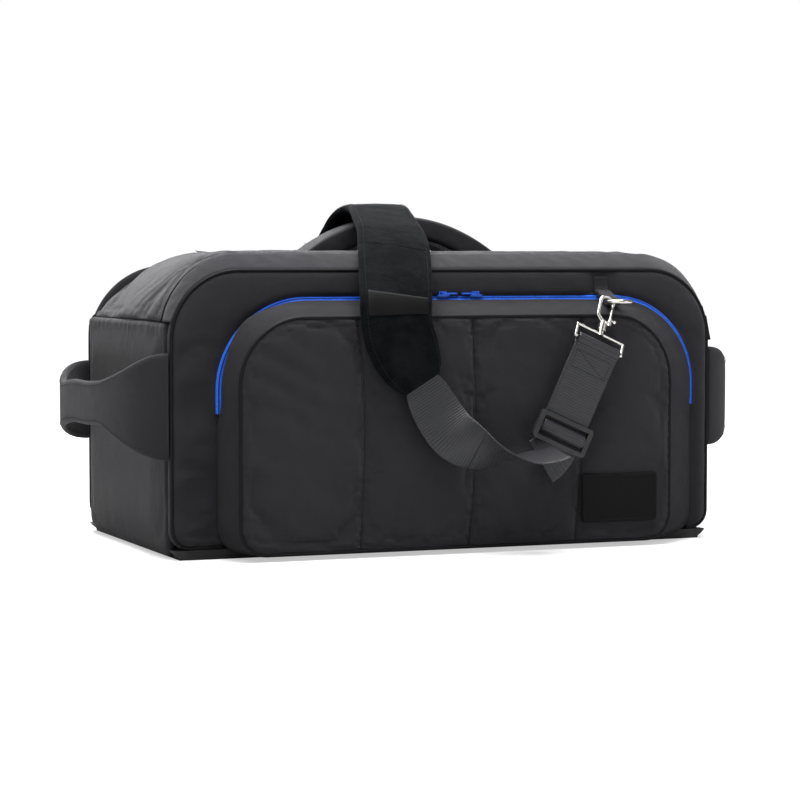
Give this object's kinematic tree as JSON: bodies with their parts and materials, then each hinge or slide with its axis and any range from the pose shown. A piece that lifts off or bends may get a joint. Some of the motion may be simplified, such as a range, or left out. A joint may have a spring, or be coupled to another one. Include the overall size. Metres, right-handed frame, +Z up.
{
  "type": "camera shoulder bag",
  "caption": "Padded rectangular camera shoulder bag with a hinged lid, a zipped front pocket, carrying and side handles, and a padded strap with snap hooks.",
  "frame": {"origin": "middle of the bag's underside, on the floor", "axes": "+X along the bag's length, to the right seen from the front; -Y out of the front; +Z up"},
  "size_m": [0.6966, 0.4649, 0.3517],
  "materials": {
    "rubber_base": "ribbed matt",
    "board": "matt",
    "cloth": "plain weave nylon",
    "cloth_top": "plain weave nylon",
    "liner_cloth": "brushed lining",
    "webbing": "ribbed webbing",
    "velour": "velour pile",
    "blue_zip": "coil zip",
    "blue_metal": "gloss paint",
    "nickel": "polished",
    "plastic": "moulded"
  },
  "bodies": {
    "bag": {"base_tray": "rubber_base", "base_board": "board", "front_panel": "cloth", "back_panel": "cloth", "side_panel_left": "cloth_top", "side_panel_right": "cloth_top", "front_rim": "cloth_top", "lining": "liner_cloth", "front_piping": "cloth", "back_piping": "cloth", "lid_zip_lower": "plastic", "side_handle_left": "cloth_top", "side_handle_right": "cloth_top", "pocket_face_lower": "cloth", "pocket_gusset_lower": "cloth", "pocket_piping_lower": "cloth", "pocket_zip_bag": "blue_zip", "pocket_patch": "plastic", "pocket_organizer": "liner_cloth", "tab_front_sewn": "webbing", "tab_back_sewn": "webbing", "webbing_front": "webbing", "strap_pad": "velour", "pad_patch": "plastic", "webbing_back": "webbing"},
    "lid": {"lid_panel": "cloth_top", "lid_zip_upper": "plastic", "top_handle": "cloth", "top_handle_grip": "liner_cloth", "handle_patches": "webbing"},
    "pocket_flap": {"pocket_face_upper": "cloth", "pocket_gusset_upper": "cloth", "pocket_piping_upper": "cloth", "pocket_zip_flap": "blue_zip"},
    "pocket_slider_left": {"pocket_slider_left": "blue_metal"},
    "pocket_pull_left": {"pocket_pull_left": "blue_metal"},
    "pocket_slider_right": {"pocket_slider_right": "blue_metal"},
    "pocket_pull_right": {"pocket_pull_right": "blue_metal"},
    "main_slider": {"main_slider": "plastic"},
    "main_pull": {"main_pull": "webbing"},
    "strap_end_front": {"tab_front": "webbing", "ring_front": "nickel", "loop_front": "nickel", "webbing_drop": "webbing", "webbing_tail": "webbing"},
    "snap_hook_front": {"hook_front": "nickel"},
    "hook_bolt_front": {"bolt_front": "nickel"},
    "strap_slider": {"strap_slider": "plastic"},
    "strap_end_back": {"tab_back": "webbing", "ring_back": "nickel", "loop_back": "nickel"},
    "snap_hook_back": {"hook_back": "nickel"},
    "hook_bolt_back": {"bolt_back": "nickel"},
    "divider_left": {"divider_left": "liner_cloth"},
    "divider_right": {"divider_right": "liner_cloth"}
  },
  "joints": [
    {"name": "lid_open", "type": "hinge", "parent": "bag", "child": "lid", "pos_m": [0, 0.147, 0.298], "axis": [-1, 0, 0], "range_deg": [0, 40], "deforming": ["strap_pad", "pad_patch", "webbing_back"]},
    {"name": "pocket_open", "type": "hinge", "parent": "bag", "child": "pocket_flap", "pos_m": [0, -0.1963, 0.142], "axis": [1, 0, 0], "range_deg": [0, 20], "deforming": ["webbing_front"]},
    {"name": "strap_end_swing", "type": "hinge", "parent": "bag", "child": "strap_end_front", "pos_m": [0.168, -0.152, 0.262], "axis": [-1, 0, 0], "range_deg": [0, 65], "deforming": ["webbing_drop", "webbing_tail"]},
    {"name": "hook_front_swivel", "type": "hinge", "parent": "strap_end_front", "child": "snap_hook_front", "pos_m": [0.155, -0.193, 0.25], "axis": [0.3771, 0.3746, 0.847], "range_deg": [-15, 3]},
    {"name": "bolt_front_pull", "type": "slide", "parent": "snap_hook_front", "child": "hook_bolt_front", "axis": [-0.3771, -0.3746, -0.847], "range_m": [0, 0.005], "stiffness_N_per_m": 300, "springref_m": -0.003},
    {"name": "strap_slider_move", "type": "slide", "parent": "strap_end_front", "child": "strap_slider", "axis": [0.4062, -0.0523, 0.9123], "range_m": [0, 0.03]},
    {"name": "strap_end_back_swing", "type": "hinge", "parent": "bag", "child": "strap_end_back", "pos_m": [-0.168, 0.167, 0.228], "axis": [-1, 0, 0], "range_deg": [0, 25]},
    {"name": "hook_back_swivel", "type": "hinge", "parent": "strap_end_back", "child": "snap_hook_back", "pos_m": [-0.155, 0.192, 0.236], "axis": [-0.1251, 0.4384, -0.89], "range_deg": [-20, 20]},
    {"name": "bolt_back_pull", "type": "slide", "parent": "snap_hook_back", "child": "hook_bolt_back", "axis": [0.1251, -0.4384, 0.89], "range_m": [0, 0.005], "stiffness_N_per_m": 300, "springref_m": -0.003},
    {"name": "pocket_slider_left_move", "type": "slide", "parent": "bag", "child": "pocket_slider_left", "axis": [-1, 0, 0], "range_m": [0, 0.11]},
    {"name": "pocket_pull_left_turn", "type": "hinge", "parent": "pocket_slider_left", "child": "pocket_pull_left", "pos_m": [-0.01, -0.1537, 0.25865], "axis": [0, -1, 0], "range_deg": [0, 165]},
    {"name": "pocket_slider_right_move", "type": "slide", "parent": "bag", "child": "pocket_slider_right", "axis": [1, 0, 0], "range_m": [0, 0.11]},
    {"name": "pocket_pull_right_turn", "type": "hinge", "parent": "pocket_slider_right", "child": "pocket_pull_right", "pos_m": [0.026, -0.1537, 0.25865], "axis": [0, 1, 0], "range_deg": [0, 165]},
    {"name": "main_slider_run", "type": "hinge", "parent": "bag", "child": "main_slider", "pos_m": [0.22, 0, 0.223], "axis": [0, -1, 0], "range_deg": [0, 70]},
    {"name": "main_pull_turn", "type": "hinge", "parent": "main_slider", "child": "main_pull", "pos_m": [0.29757, -0.1305, 0.23949], "axis": [0, -1, 0], "range_deg": [0, 150]},
    {"name": "divider_left_move", "type": "slide", "parent": "bag", "child": "divider_left", "axis": [1, 0, 0], "range_m": [-0.12, 0.06]},
    {"name": "divider_right_move", "type": "slide", "parent": "bag", "child": "divider_right", "axis": [1, 0, 0], "range_m": [-0.06, 0.12]}
  ],
  "couplings": [
    {"joint": "strap_end_swing", "follows": "pocket_open", "ratio": 3}
  ]
}
